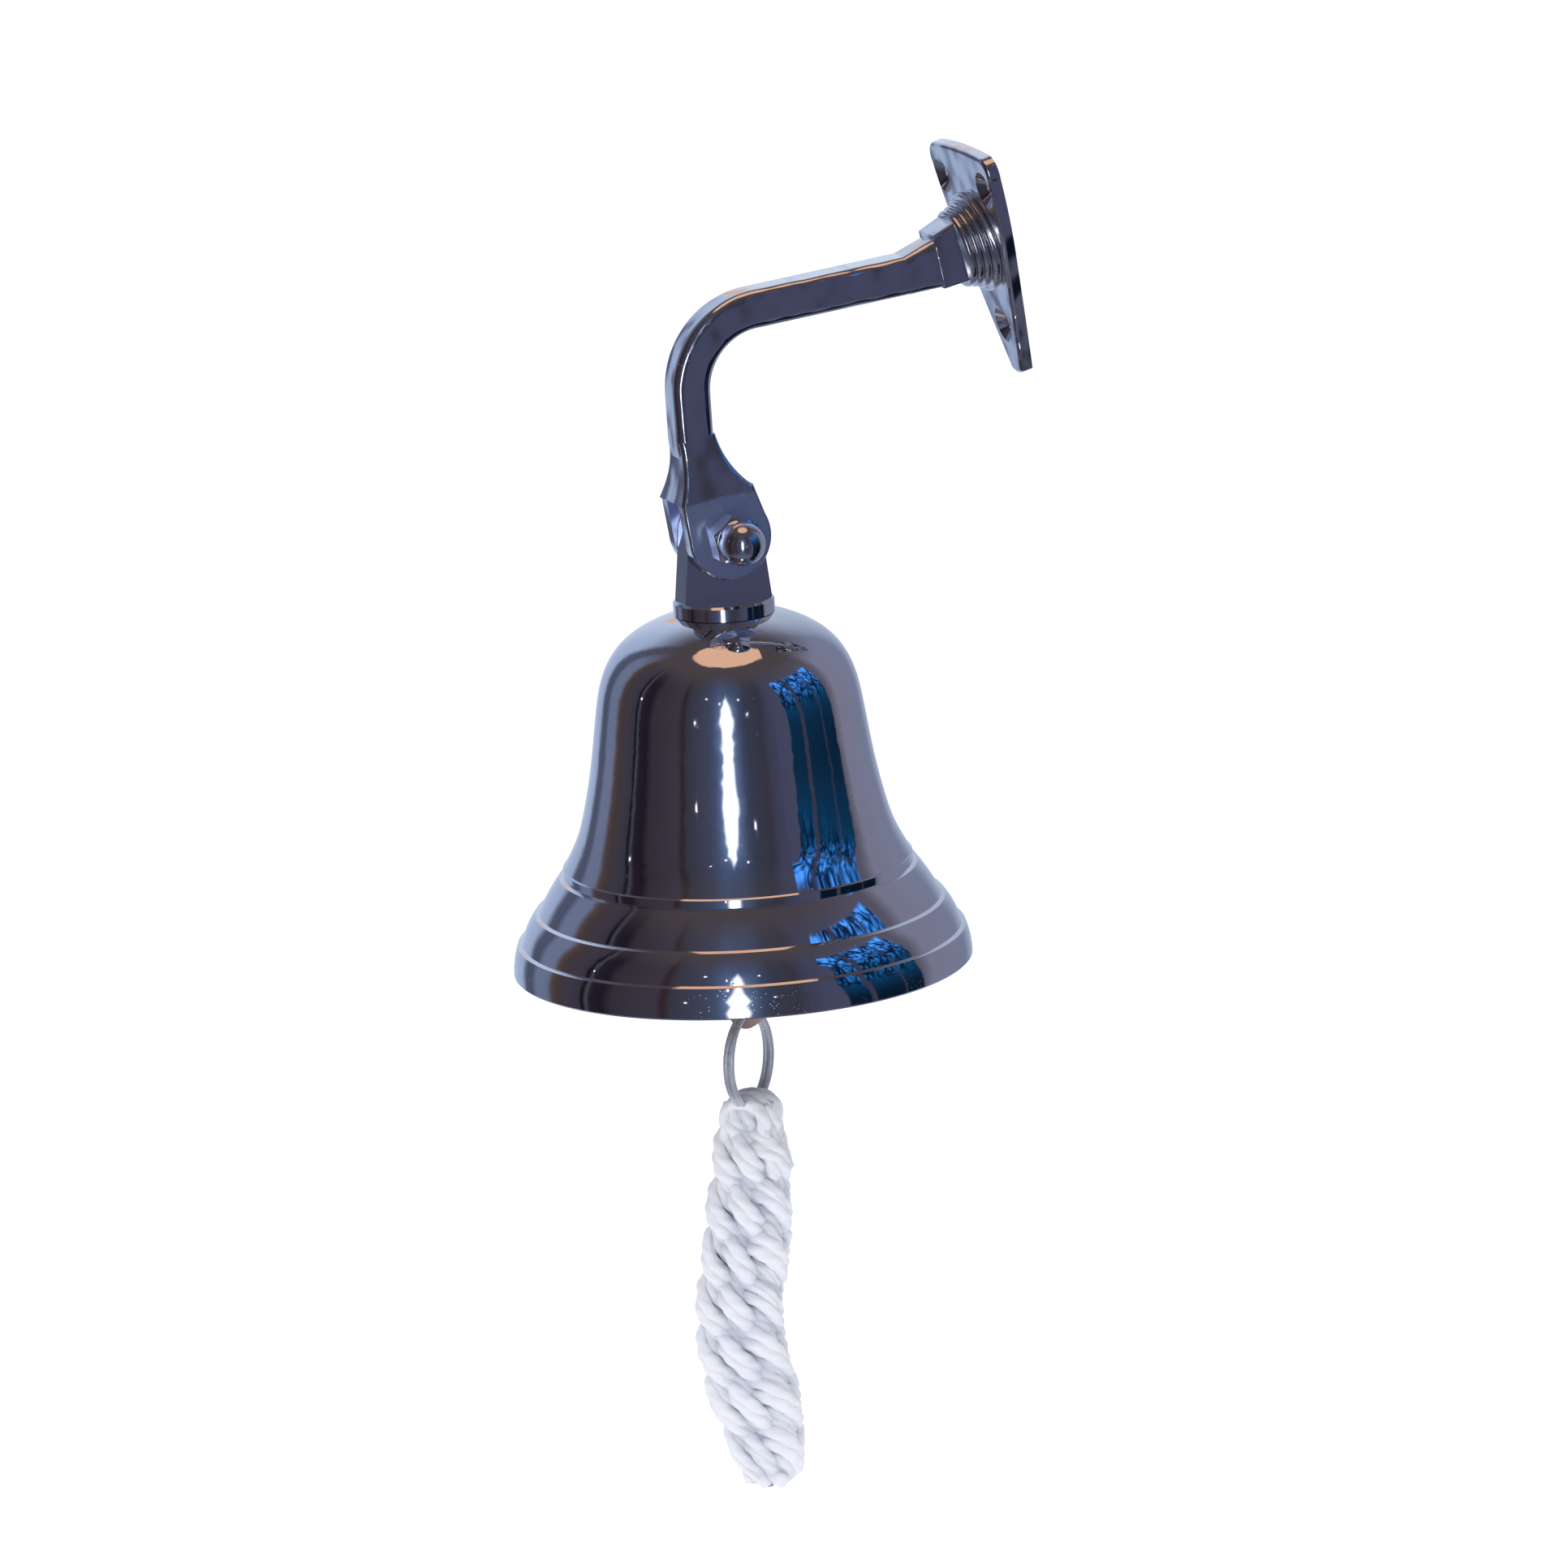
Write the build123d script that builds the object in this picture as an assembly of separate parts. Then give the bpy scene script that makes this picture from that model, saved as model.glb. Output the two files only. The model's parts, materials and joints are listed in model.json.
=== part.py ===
from build123d import *

import math
import os

# Wall-hung ship's bell with a cast bracket, a clapper and a short plaited rope. Millimetres.
#
# Row frame: +Z is up along the plumb line of the hanging bell, +X runs along the pivot bolt
# towards its cap nut, +Y points at the wall. The origin is the centre of the wall plate's
# back face, on the axis of its round boss.
# Bracket frame: the same origin, turned about X by the bracket's lean, so that the plate
# stands along its own Z and its back face is the plane y = 0.
# Arm frame: the same origin again, turned back by the angle that the arm rises from the plate.
# Bell frame: upright, with its origin at the middle of the pivot bolt.

# ---- driving dimensions: bracket ----
BRACKET_LEAN = 13.7  # degrees the plate tips forward over the plumb bell
ARM_RISE = 3.4  # degrees between the arm and a line square to the plate
REACH = 75.0  # wall face to pivot, along the arm
DROP = 45.0  # boss axis down to the pivot, square to the arm

PLATE_THICKNESS = 2.8
PLATE_TOP = 21.2  # height of the plate's top edge above the boss axis
PLATE_TIP = 31.0  # depth of its blunt tip below the boss axis
PLATE_HALF_WIDTH = 16.9
PLATE_EDGE_ROUND = 0.8

SCREW_HOLE_RADIUS = 2.1
SCREW_SINK_RADIUS = 4.1
SCREW_SINK_DEPTH = 1.6
TOP_HOLE_X = 12.2
TOP_HOLE_Z = 13.2
BOTTOM_HOLE_Z = -19.6

BOSS_RINGS = ((11.2, 1.7), (10.0, 1.5), (9.2, 1.5), (8.7, 1.5))  # radius and height of each
BOSS_RING_ROUND = 0.6

SHOULDER_HEIGHT = 14.0  # block between the boss and the arm
SHOULDER_END_HEIGHT = 12.0
SHOULDER_WIDTH = 9.6
SHOULDER_END_WIDTH = 9.2
SHOULDER_LENGTH = 5.3
SHOULDER_Z = 0.0  # middle of the block's height, at the boss
SHOULDER_END_Z = -1.2  # and where it meets the arm
ARM_WIDTH = 8.8
ARM_HEIGHT = 8.4
ARM_EDGE_ROUND = 2.0
ARM_FLARE_LENGTH = 7.5
ARM_FLARE_HEIGHT = 10.8
ARM_BEND_RADIUS = 16.8
ARM_START_Z = -2.9  # the arm leaves the shoulder a little below the boss axis
ARM_CORNER = (-72.4, 2.0)  # (y, z) where the lines of arm and leg cross
LEG_KNEE = (-76.8, -24.3)
LEG_KNEE_RADIUS = 14.0
ARM_SCREW_RADIUS = 2.5
ARM_SCREW_HEAD_RADIUS = 5.0
ARM_SCREW_LENGTH = 15.0

FORK_WIDTH = 14.5  # across the two ears
FORK_GAP = 7.2
FORK_SHOULDER_HEIGHT = 9.7  # pivot up to the line where the ears begin
FORK_SHOULDER_FRONT = 9.3  # from the pivot's line to the front and the back of the shoulder line
FORK_SHOULDER_BACK = 7.7
FORK_HEAD_HEIGHT = 22.5  # pivot up to where the leg starts to spread
FORK_EAR_RADIUS = 9.3
FORK_EAR_RECESS = 0.55  # ear face set back from the head above it
FORK_EDGE_ROUND = 0.6

# ---- driving dimensions: pivot bolt and cap nut ----
BOLT_RADIUS = 3.0
BOLT_BORE_RADIUS = 3.1
HEX_FLATS = 10.0
BOLT_HEAD_HEIGHT = 4.0
CAP_HEX_HEIGHT = 4.6
CAP_DOME_RADIUS = 4.75
CAP_HEIGHT = 12.0
CAP_THREAD_DEPTH = 8.0

# ---- driving dimensions: bell ----
LUG_THICKNESS = 6.6
LUG_TOP_RADIUS = 8.4
LUG_FOOT_WIDTH = 20.0
COLLAR_RADIUS = 11.0
COLLAR_HEIGHT = 3.2
PIVOT_TO_CROWN = 17.5  # pivot down to the top of the bell
BELL_HEIGHT = 78.0
MOUTH_RADIUS = 50.0
CROWN_THICKNESS = 3.0
WALL_THICKNESS = 2.7
LIP_THICKNESS = 3.9
BAND_HEIGHT = 2.3  # straight band above the first moulding
LEDGE = 1.0  # width of the small ledge at each moulding

# ---- driving dimensions: hanging of the clapper ----
STUD_RADIUS = 3.0
STUD_CLEARANCE = 0.25
LUG_THREAD_DEPTH = 9.0
WASHER_RADIUS = 8.0
WASHER_THICKNESS = 1.2
NUT_HEIGHT = 5.0
EYE_DROP = 34.5  # pivot down to the centre of the eye bolt's ring
EYE_RADIUS = 5.0
EYE_WIRE = 1.5
LINK_RADIUS = 5.2
LINK_WIRE = 1.3
CLAPPER_EYE_RADIUS = 4.0
CLAPPER_EYE_WIRE = 1.4
HOOK_GAP = 0.3  # free space between wires that hang in each other
STEM_RADIUS = 2.0
BALL_RADIUS = 10.0
BALL_HEIGHT = 11.5  # ball centre above the mouth
TAIL_BELOW_MOUTH = 14.8
TAIL_RADIUS = 3.9
TAIL_THICKNESS = 2.4
TAIL_HOLE_RADIUS = 1.9

# ---- driving dimensions: split ring and rope ----
RING_OUTER_RADIUS = 11.0
RING_WIRE = 0.65
RING_COIL_OFFSET = 0.64  # half the distance between the two turns
RING_SEAT = 0.5  # ring wire below the centre of the tail's hole
RING_TURN = -45.0  # degrees from +X to the ring's plane, seen from above
ROPE_TOP_ABOVE_WIRE = 4.1
ROPE_TUNNEL_RADIUS = 1.8
# distance below the rope's top, radius, and sideways bow of each section of the plait
ROPE_SECTIONS = (
    (0.0, 4.4, 0.6),
    (4.0, 7.0, 0.3),
    (15.8, 9.3, -0.1),
    (27.3, 10.9, 0.7),
    (38.7, 10.9, 2.7),
    (50.2, 11.0, 4.1),
    (57.7, 11.2, 4.4),
    (64.6, 11.4, 3.0),
    (76.0, 10.7, 1.0),
    (84.0, 9.3, 0.2),
    (89.0, 7.4, -0.3),
    (91.6, 4.6, -0.6),
)
ROPE_BOW_TURN = -109.4  # degrees from +X to the way that the rope bows, seen from above

# ---- places worked out from the driving dimensions ----
BRACKET_FRAME = Rot(BRACKET_LEAN, 0, 0)
ARM_FRAME = Rot(BRACKET_LEAN - ARM_RISE, 0, 0)
PIVOT_Y = -REACH
PIVOT_Z = -DROP
PIVOT = (ARM_FRAME * Pos(0, PIVOT_Y, PIVOT_Z)).position
BOSS_HEIGHT = sum(height for _, height in BOSS_RINGS)
BOSS_FACE_Y = -PLATE_THICKNESS - BOSS_HEIGHT
SHOULDER_FACE_Y = BOSS_FACE_Y - SHOULDER_LENGTH
SHOULDER_LINE_Z = PIVOT_Z + FORK_SHOULDER_HEIGHT
MOUTH_Z = -PIVOT_TO_CROWN - BELL_HEIGHT
CROWN_UNDERSIDE_Z = -PIVOT_TO_CROWN - CROWN_THICKNESS
EYE_SEAT_Z = -EYE_DROP - EYE_RADIUS
LINK_Z = EYE_SEAT_Z + EYE_WIRE + HOOK_GAP + LINK_WIRE - LINK_RADIUS
LINK_SEAT_Z = LINK_Z - LINK_RADIUS
CLAPPER_EYE_Z = LINK_SEAT_Z + LINK_WIRE + HOOK_GAP + CLAPPER_EYE_WIRE - CLAPPER_EYE_RADIUS
TAIL_HOLE_Z = MOUTH_Z - TAIL_BELOW_MOUTH + TAIL_RADIUS
RING_SEAT_Z = TAIL_HOLE_Z - RING_SEAT
RING_RADIUS = RING_OUTER_RADIUS - RING_WIRE
RING_Z = RING_SEAT_Z - RING_RADIUS
ROPE_TOP_Z = RING_Z - RING_RADIUS + ROPE_TOP_ABOVE_WIRE


def on_bracket(shape):
    """Moves a shape drawn in the bracket frame into the row frame."""
    return BRACKET_FRAME * shape


def on_arm(shape):
    """Moves a shape drawn in the arm frame into the row frame."""
    return ARM_FRAME * shape


def on_bell(shape):
    """Moves a shape drawn in the bell frame into the row frame."""
    return Pos(PIVOT) * shape


def along_y(shape, y):
    """Turns a shape that stands along +Z so that it runs along +Y, with its base at y."""
    return Pos(0, y, 0) * Rot(-90, 0, 0) * shape


def standing(shape):
    """Lifts a cylinder, cone or prism so that its base is at z = 0."""
    return Pos(0, 0, -shape.bounding_box().min.Z) * shape


def countersunk_cutter(hole_radius, sink_radius, sink_depth):
    """A drill and its countersink, standing on its wide end at z = 0."""
    drill = standing(Cylinder(hole_radius, 12.0))
    sink = standing(Cone(sink_radius, hole_radius, sink_depth))
    return drill + sink


# ---- bracket ----
def plate_outline():
    """The shield: a nearly flat top, rounded shoulders and sides that run to a blunt tip."""
    shoulder = (13.2, PLATE_TOP - 0.6)
    widest = (PLATE_HALF_WIDTH, PLATE_TOP - 5.6)
    waist = (12.8, -3.0)
    tip_corner = (2.8, -PLATE_TIP + 0.7)
    side = [
        ThreePointArc(shoulder, (16.4, PLATE_TOP - 2.2), widest),
        ThreePointArc(widest, (15.3, 5.4), waist),
        ThreePointArc(waist, (8.0, -16.4), tip_corner),
    ]
    top = ThreePointArc((-shoulder[0], shoulder[1]), (0, PLATE_TOP), shoulder)
    tip = ThreePointArc(tip_corner, (0, -PLATE_TIP), (-tip_corner[0], tip_corner[1]))
    return make_face([top, tip] + side + [mirror(edge, Plane.YZ) for edge in side])


def wall_plate():
    """Shield plate with a turned boss, three countersunk holes and the arm screw's seat."""
    plate = extrude(Plane.XZ * plate_outline(), PLATE_THICKNESS)
    front = plate.faces().sort_by(Axis.Y)[0]
    plate = fillet(front.edges(), PLATE_EDGE_ROUND)
    y = -PLATE_THICKNESS
    for radius, height in BOSS_RINGS:
        ring = standing(Cylinder(radius, height))
        ring = fillet(ring.edges().filter_by(GeomType.CIRCLE), BOSS_RING_ROUND)
        y -= height
        plate += along_y(ring, y)
    cutter = countersunk_cutter(SCREW_HOLE_RADIUS, SCREW_SINK_RADIUS, SCREW_SINK_DEPTH)
    for x, z in ((-TOP_HOLE_X, TOP_HOLE_Z), (TOP_HOLE_X, TOP_HOLE_Z), (0, BOTTOM_HOLE_Z)):
        plate -= Pos(x, 0, z) * along_y(cutter, -PLATE_THICKNESS)
    seat = countersunk_cutter(ARM_SCREW_RADIUS + 0.1, ARM_SCREW_HEAD_RADIUS, 2.6)
    plate -= Rot(90, 0, 0) * seat
    return on_bracket(plate)


def arm_bar():
    """The bent bar from the shoulder block to the top of the fork."""
    start = (0, SHOULDER_FACE_Y + 1.0, ARM_START_Z)
    corner = (0, *ARM_CORNER)
    knee = (0, *LEG_KNEE)
    foot = (0, PIVOT_Y - 0.8, SHOULDER_LINE_Z + 4.0)
    path = FilletPolyline(start, corner, knee, foot, radius=[ARM_BEND_RADIUS, LEG_KNEE_RADIUS])
    section_plane = Plane(origin=start, x_dir=(1, 0, 0), z_dir=path % 0)
    section = section_plane * RectangleRounded(ARM_WIDTH, ARM_HEIGHT, ARM_EDGE_ROUND)
    return sweep(section, path=path)


def arm_flare():
    """The arm's swelling where it runs into the shoulder block."""
    flare_y = SHOULDER_FACE_Y - ARM_FLARE_LENGTH
    slope = (ARM_START_Z - ARM_CORNER[1]) / (SHOULDER_FACE_Y - ARM_CORNER[0])
    flare_z = ARM_START_Z - slope * ARM_FLARE_LENGTH
    thin = RectangleRounded(ARM_WIDTH, ARM_HEIGHT, ARM_EDGE_ROUND)
    thick = RectangleRounded(SHOULDER_END_WIDTH - 0.6, ARM_FLARE_HEIGHT, ARM_EDGE_ROUND)
    far = Pos(0, flare_y, flare_z) * Rot(90, 0, 0) * thin
    near = Pos(0, SHOULDER_FACE_Y + 0.5, SHOULDER_END_Z - 0.4) * Rot(90, 0, 0) * thick
    return loft([far, near])


def shoulder_block():
    """The tapered block between the boss and the arm, reaching a little into the boss."""
    end = Pos(0, SHOULDER_FACE_Y, SHOULDER_END_Z) * Rot(90, 0, 0)
    foot = Pos(0, BOSS_FACE_Y + 1.5, SHOULDER_Z) * Rot(90, 0, 0)
    small = RectangleRounded(SHOULDER_END_WIDTH, SHOULDER_END_HEIGHT, 0.6)
    large = RectangleRounded(SHOULDER_WIDTH, SHOULDER_HEIGHT, 0.6)
    return loft([end * small, foot * large])


def fork_head():
    """The spreading foot of the leg, hollow-curved on all four sides."""
    waist = ARM_HEIGHT / 2
    top_z = PIVOT_Z + FORK_HEAD_HEIGHT
    leg_y = PIVOT_Y - 1.3  # the leg meets the head a little in front of the pivot
    front_foot = (PIVOT_Y - FORK_SHOULDER_FRONT, SHOULDER_LINE_Z)
    back_foot = (PIVOT_Y + FORK_SHOULDER_BACK, SHOULDER_LINE_Z)
    front = Spline((leg_y - waist, top_z), front_foot, tangents=[(0.0, -1.0), (-0.62, -1.0)])
    back = Spline((leg_y + waist, top_z), back_foot, tangents=[(0.05, -1.0), (0.9, -1.0)])
    side = make_face([Line(front @ 0, back @ 0), front, back, Line(front_foot, back_foot)])
    foot_x = FORK_WIDTH / 2 + FORK_EAR_RECESS
    flare = Spline((ARM_WIDTH / 2, top_z), (foot_x, SHOULDER_LINE_Z), tangents=[(0.05, -1.0), (0.35, -1.0)])
    other = mirror(flare, Plane.YZ)
    face = make_face([Line(flare @ 0, other @ 0), flare, other, Line(flare @ 1, other @ 1)])
    head = extrude(Plane.YZ * side, FORK_WIDTH, both=True) & extrude(Plane.XZ * face, 2 * REACH, both=True)
    return fillet(head.edges().filter_by(GeomType.LINE, reverse=True), 1.1)


def fork_ear():
    """The ear on the bolt's nut side: straight sides and a round end about the pivot."""
    top_z = SHOULDER_LINE_Z + 0.5
    sides = Polyline(
        (PIVOT_Y - FORK_SHOULDER_FRONT + 0.4, top_z),
        (PIVOT_Y - FORK_EAR_RADIUS, PIVOT_Z),
        (PIVOT_Y + FORK_EAR_RADIUS, PIVOT_Z),
        (PIVOT_Y + FORK_SHOULDER_BACK - 0.1, top_z),
        close=True,
    )
    outline = make_face(sides) + Pos(PIVOT_Y, PIVOT_Z) * Circle(FORK_EAR_RADIUS)
    ear = extrude(Plane.YZ * outline, (FORK_WIDTH - FORK_GAP) / 2)
    outer = ear.faces().sort_by(Axis.X)[-1]
    ear = fillet(outer.edges().sort_by(Axis.Z)[:-1], FORK_EDGE_ROUND)
    return Pos(FORK_GAP / 2, 0, 0) * ear


def bracket_arm():
    """Shoulder block, bent arm and fork, cast in one piece."""
    slot_top = PIVOT_Z + LUG_TOP_RADIUS + 1.4
    slot = Box(FORK_GAP, 40.0, 40.0, align=(Align.CENTER, Align.CENTER, Align.MAX))
    fork = fork_head() + fork_ear() + mirror(fork_ear(), Plane.YZ)
    arm = shoulder_block() + arm_flare() + arm_bar() + fork
    arm -= Pos(0, PIVOT_Y, slot_top) * slot
    bore = Cylinder(BOLT_BORE_RADIUS, 2 * FORK_WIDTH)
    arm -= Pos(0, PIVOT_Y, PIVOT_Z) * Rot(0, 90, 0) * bore
    boss_side = Box(60, 20, 60, align=(Align.CENTER, Align.MIN, Align.CENTER))
    screw_depth = ARM_SCREW_LENGTH - PLATE_THICKNESS - BOSS_HEIGHT + 1.0
    screw_hole = along_y(standing(Cylinder(ARM_SCREW_RADIUS, screw_depth + 5.0)), BOSS_FACE_Y - screw_depth)
    return on_arm(arm) - on_bracket(Pos(0, BOSS_FACE_Y, 0) * boss_side) - on_bracket(screw_hole)


def arm_screw():
    """Countersunk screw from the plate's back into the arm."""
    shank = standing(Cylinder(ARM_SCREW_RADIUS, ARM_SCREW_LENGTH))
    head = standing(Cone(ARM_SCREW_HEAD_RADIUS, ARM_SCREW_RADIUS, 2.5))
    socket = Rot(0, 0, 30) * extrude(RegularPolygon(2.3, 6, major_radius=False), 2.0)
    return on_bracket(Rot(90, 0, 0) * (shank + head - socket))


# ---- pivot bolt ----
def hexagon(height):
    """A hexagonal prism whose corners are turned off at the top, standing at z = 0."""
    prism = extrude(RegularPolygon(HEX_FLATS / 2, 6, major_radius=False), height)
    corner = HEX_FLATS / math.sqrt(3)
    turned = standing(Cylinder(corner + 0.1, height))
    turned = chamfer(turned.edges().sort_by(Axis.Z)[-1], 0.7, 1.1)
    return prism & turned


def pivot_bolt():
    """Hexagon bolt through both ears of the fork and the bell's lug."""
    end_x = FORK_WIDTH / 2 + CAP_THREAD_DEPTH - 1.0
    shank = standing(Cylinder(BOLT_RADIUS, FORK_WIDTH / 2 + end_x))
    shank = chamfer(shank.edges().sort_by(Axis.Z)[-1], 0.6)
    bolt = shank + Rot(180, 0, 0) * hexagon(BOLT_HEAD_HEIGHT)
    return on_arm(Pos(-FORK_WIDTH / 2, PIVOT_Y, PIVOT_Z) * Rot(0, 90, 0) * bolt)


def cap_nut():
    """Domed hexagon nut on the bolt's end."""
    collar = standing(Cylinder(CAP_DOME_RADIUS, CAP_HEIGHT - CAP_DOME_RADIUS))
    dome = Pos(0, 0, CAP_HEIGHT - CAP_DOME_RADIUS) * Sphere(CAP_DOME_RADIUS)
    nut = hexagon(CAP_HEX_HEIGHT) + collar + (dome - Pos(0, 0, -10) * Box(20, 20, 20))
    nut -= standing(Cylinder(BOLT_RADIUS + 0.02, CAP_THREAD_DEPTH))
    return on_arm(Pos(FORK_WIDTH / 2, PIVOT_Y, PIVOT_Z) * Rot(0, 90, 0) * nut)


# ---- bell ----
def bell_lug():
    """Flat tab on the pivot bolt with the round collar that sits on the bell's crown."""
    foot_z = -PIVOT_TO_CROWN + COLLAR_HEIGHT
    tab = Polyline(
        (-LUG_TOP_RADIUS, 0),
        (LUG_TOP_RADIUS, 0),
        (LUG_FOOT_WIDTH / 2, foot_z - 0.5),
        (-LUG_FOOT_WIDTH / 2, foot_z - 0.5),
        close=True,
    )
    outline = make_face(tab) + Circle(LUG_TOP_RADIUS)
    lug = extrude(Plane.YZ * outline, LUG_THICKNESS / 2, both=True)
    collar = standing(Cylinder(COLLAR_RADIUS, COLLAR_HEIGHT))
    collar = chamfer(collar.edges().sort_by(Axis.Z)[-1], 0.5)
    lug += Pos(0, 0, -PIVOT_TO_CROWN) * collar
    lug -= Rot(0, 90, 0) * Cylinder(BOLT_RADIUS + 0.08, 4 * LUG_THICKNESS)
    lug -= Pos(0, 0, -PIVOT_TO_CROWN) * standing(Cylinder(STUD_RADIUS + 0.02, LUG_THREAD_DEPTH))
    return on_bell(lug)


def bell_outside():
    """The bell's outer line from the crown hole to the lip, heights above the mouth."""
    hole = STUD_RADIUS + STUD_CLEARANCE
    waist_end = (37.6, 21.2 + BAND_HEIGHT)
    crown = Line((hole, BELL_HEIGHT), (10.6, BELL_HEIGHT))
    shoulder_and_waist = Spline(
        (10.6, BELL_HEIGHT),
        (17.0, 75.7),
        (23.1, 71.6),
        (27.0, 65.6),
        (29.0, 57.3),
        (31.1, 43.5),
        (33.6, 32.5),
        waist_end,
        tangents=[(1.0, -0.25), (0.55, -1.0)],
    )
    band = Polyline(waist_end, (38.0, 23.2), (38.0, 21.5), (38.0 + LEDGE, 21.2))
    upper_flare = ThreePointArc((38.0 + LEDGE, 21.2), (41.5, 17.6), (43.7, 13.6))
    middle_ledge = Line((43.7, 13.6), (43.7 + LEDGE, 13.3))
    lower_flare = ThreePointArc((43.7 + LEDGE, 13.3), (46.6, 10.3), (47.8, 7.0))
    lip_ledge = Line((47.8, 7.0), (47.8 + LEDGE, 6.7))
    lip = ThreePointArc((47.8 + LEDGE, 6.7), (49.7, 3.5), (MOUTH_RADIUS, 0.4))
    return [crown, shoulder_and_waist, band, upper_flare, middle_ledge, lower_flare, lip_ledge, lip]


def bell_inside():
    """The inner line, from the lip up to the crown hole."""
    inner_top = BELL_HEIGHT - CROWN_THICKNESS
    lip_inner = MOUTH_RADIUS - LIP_THICKNESS
    lip_foot = Polyline((MOUTH_RADIUS, 0.4), (MOUTH_RADIUS - 0.4, 0.0), (lip_inner, 0.0))
    wall = Spline(
        (lip_inner, 0.0),
        (42.0, 10.0),
        (35.4, 22.5),
        (33.6 - WALL_THICKNESS, 31.5),
        (30.9 - WALL_THICKNESS, 43.0),
        (28.6 - WALL_THICKNESS, 57.0),
        (24.0, 64.6),
        (20.2, 69.6),
        (14.8, 73.6),
        (9.6, inner_top),
        tangents=[(-0.5, 1.0), (-1.0, 0.12)],
    )
    crown = Line((9.6, inner_top), (STUD_RADIUS + STUD_CLEARANCE, inner_top))
    hole = Line(crown @ 1, (STUD_RADIUS + STUD_CLEARANCE, BELL_HEIGHT))
    return [lip_foot, wall, crown, hole]


def bell_shell():
    """The turned bell."""
    section = Plane.XZ * make_face(bell_outside() + bell_inside())
    return on_bell(Pos(0, 0, MOUTH_Z) * revolve(section, Axis.Z))


def crown_washer():
    """Washer under the crown."""
    ring = Cylinder(WASHER_RADIUS, WASHER_THICKNESS) - Cylinder(STUD_RADIUS + 0.2, 5.0)
    return on_bell(Pos(0, 0, CROWN_UNDERSIDE_Z - WASHER_THICKNESS / 2) * ring)


def crown_nut():
    """Hexagon nut that clamps the bell against the lug's collar."""
    nut = Rot(180, 0, 0) * hexagon(NUT_HEIGHT) - Cylinder(STUD_RADIUS + 0.02, 4 * NUT_HEIGHT)
    return on_bell(Pos(0, 0, CROWN_UNDERSIDE_Z - WASHER_THICKNESS) * nut)


def clapper_eye():
    """Eye bolt screwed up through the crown into the lug."""
    top_z = -PIVOT_TO_CROWN + LUG_THREAD_DEPTH - 1.0
    stud_foot = -EYE_DROP + EYE_RADIUS
    stud = Pos(0, 0, stud_foot) * standing(Cylinder(STUD_RADIUS, top_z - stud_foot))
    ring = Pos(0, 0, -EYE_DROP) * Rot(0, 90, 0) * Torus(EYE_RADIUS, EYE_WIRE)
    hollow = Pos(0, 0, -EYE_DROP) * Rot(0, 90, 0) * Cylinder(EYE_RADIUS - EYE_WIRE, 4 * EYE_WIRE)
    return on_bell(stud - hollow + ring)


def clapper_link():
    """Closed ring link between the eye bolt and the clapper."""
    return on_bell(Pos(0, 0, LINK_Z) * Rot(90, 0, 0) * Torus(LINK_RADIUS, LINK_WIRE))


def clapper_rod():
    """Clapper stem: an eye at the top, a flat tail with a hole at the bottom."""
    eye = Pos(0, 0, CLAPPER_EYE_Z) * Rot(0, 90, 0) * Torus(CLAPPER_EYE_RADIUS, CLAPPER_EYE_WIRE)
    stem_top = CLAPPER_EYE_Z - CLAPPER_EYE_RADIUS
    stem_foot = TAIL_HOLE_Z + TAIL_RADIUS - 1.0
    stem = Pos(0, 0, stem_foot) * standing(Cylinder(STEM_RADIUS, stem_top - stem_foot))
    tail_outline = Circle(TAIL_RADIUS) + Pos(0, TAIL_RADIUS) * Rectangle(2 * STEM_RADIUS, 4.0)
    tail = extrude(Plane.YZ * (tail_outline - Circle(TAIL_HOLE_RADIUS)), TAIL_THICKNESS / 2, both=True)
    tail = Pos(0, 0, TAIL_HOLE_Z) * Rot(0, 0, RING_TURN) * tail
    return on_bell(eye + stem + tail)


def clapper_ball():
    """Drilled ball pressed on the stem."""
    ball = Sphere(BALL_RADIUS) - Cylinder(STEM_RADIUS, 4 * BALL_RADIUS)
    return on_bell(Pos(0, 0, MOUTH_Z + BALL_HEIGHT) * ball)


# ---- split ring and rope ----
def ring_place():
    """Where the split ring stands: its plane holds +Z and the hole in the clapper's tail."""
    return Pos(0, 0, RING_Z) * Rot(0, 0, RING_TURN) * Rot(90, 0, 0)


def split_ring():
    """Two turns of round wire side by side."""
    turns = Pos(RING_RADIUS, RING_COIL_OFFSET) * Circle(RING_WIRE)
    turns += Pos(RING_RADIUS, -RING_COIL_OFFSET) * Circle(RING_WIRE)
    return on_bell(ring_place() * revolve(Plane.XZ * turns, Axis.Z))


def lanyard():
    """Outer shape of the plaited rope, with the tunnel that the split ring runs in."""
    bow_way = Vector(1, 0, 0).rotate(Axis.Z, ROPE_BOW_TURN)
    sections = []
    for depth, radius, bow in ROPE_SECTIONS:
        centre = Vector(0, 0, ROPE_TOP_Z - depth) + bow_way * bow
        sections.append(Pos(centre) * Circle(radius))
    rope = loft(sections, ruled=True)
    rope -= ring_place() * Torus(RING_RADIUS, ROPE_TUNNEL_RADIUS)
    return on_bell(rope)


PIECES = {
    "wall_plate": wall_plate,
    "bracket_arm": bracket_arm,
    "arm_screw": arm_screw,
    "pivot_bolt": pivot_bolt,
    "cap_nut": cap_nut,
    "bell_lug": bell_lug,
    "bell_shell": bell_shell,
    "crown_washer": crown_washer,
    "crown_nut": crown_nut,
    "clapper_eye": clapper_eye,
    "clapper_link": clapper_link,
    "clapper_rod": clapper_rod,
    "clapper_ball": clapper_ball,
    "split_ring": split_ring,
    "lanyard": lanyard,
}

os.makedirs("parts", exist_ok=True)
for name, make in PIECES.items():
    export_step(make(), f"parts/{name}.step")
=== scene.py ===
"""Wall-hung ship's bell: finishes, split ring, plaited rope pull, light and camera."""
from __future__ import annotations

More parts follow.
